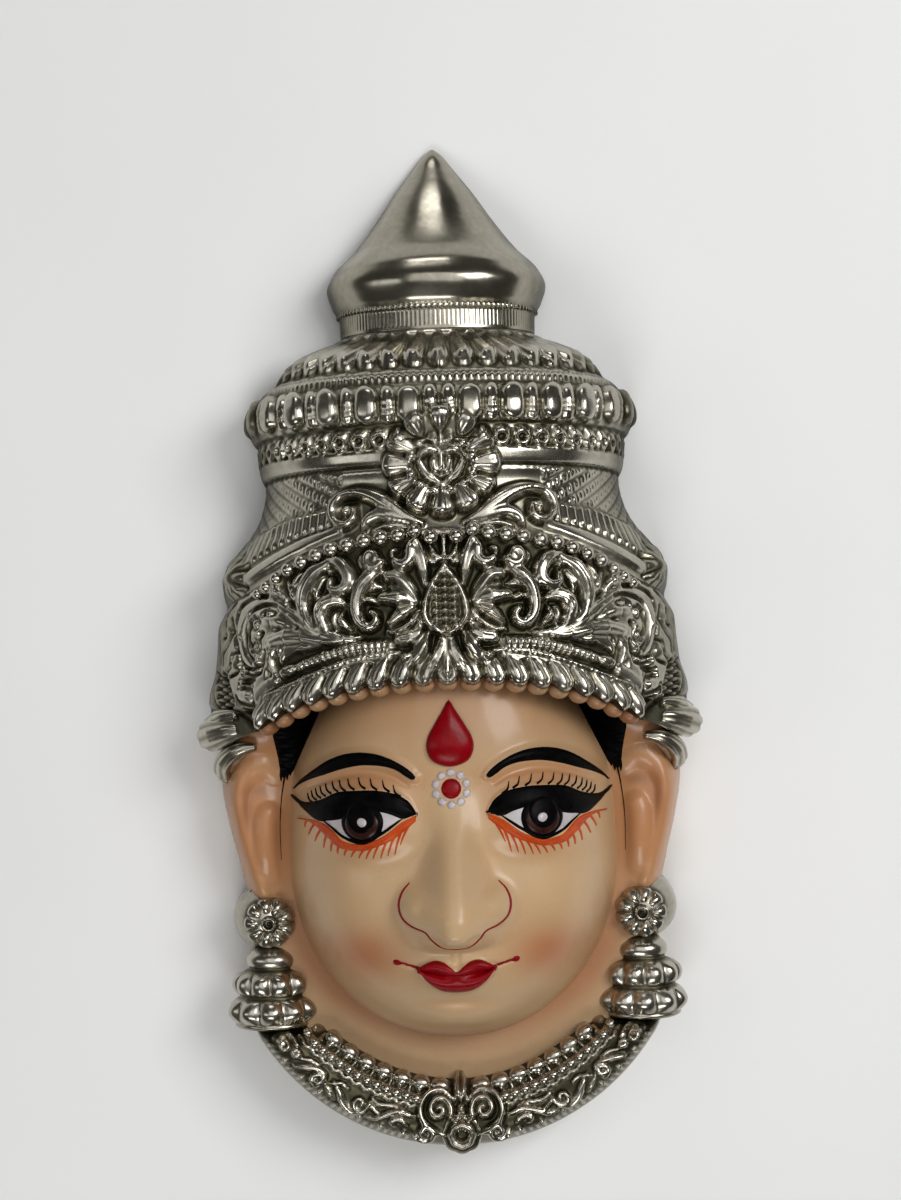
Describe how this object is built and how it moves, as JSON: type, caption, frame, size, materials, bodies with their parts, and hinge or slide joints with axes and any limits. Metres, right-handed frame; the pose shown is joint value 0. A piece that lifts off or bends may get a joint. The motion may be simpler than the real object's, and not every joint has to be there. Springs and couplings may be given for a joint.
{
  "type": "goddess face mask",
  "caption": "Hollow one-piece goddess face mask with a tall crown, painted face, earrings and collar, lying face up on its flat back rim.",
  "frame": {"origin": "middle of the flat back plane, halfway between the finial's tip and the collar's pendant", "axes": "+Z out of the face, away from the back plane; +Y towards the finial's tip; +X to the viewer's right"},
  "size_m": [0.1246, 0.254, 0.0592],
  "materials": {
    "silver_plate": "bright plated, darker in the recesses",
    "skin_enamel": "gloss enamel with airbrushed shades",
    "red_paint": "gloss",
    "black_paint": "gloss",
    "orange_paint": "gloss",
    "white_paint": "gloss",
    "bare_back": "matt moulded back"
  },
  "bodies": {
    "root": {"mask": "silver_plate"}
  },
  "joints": []
}
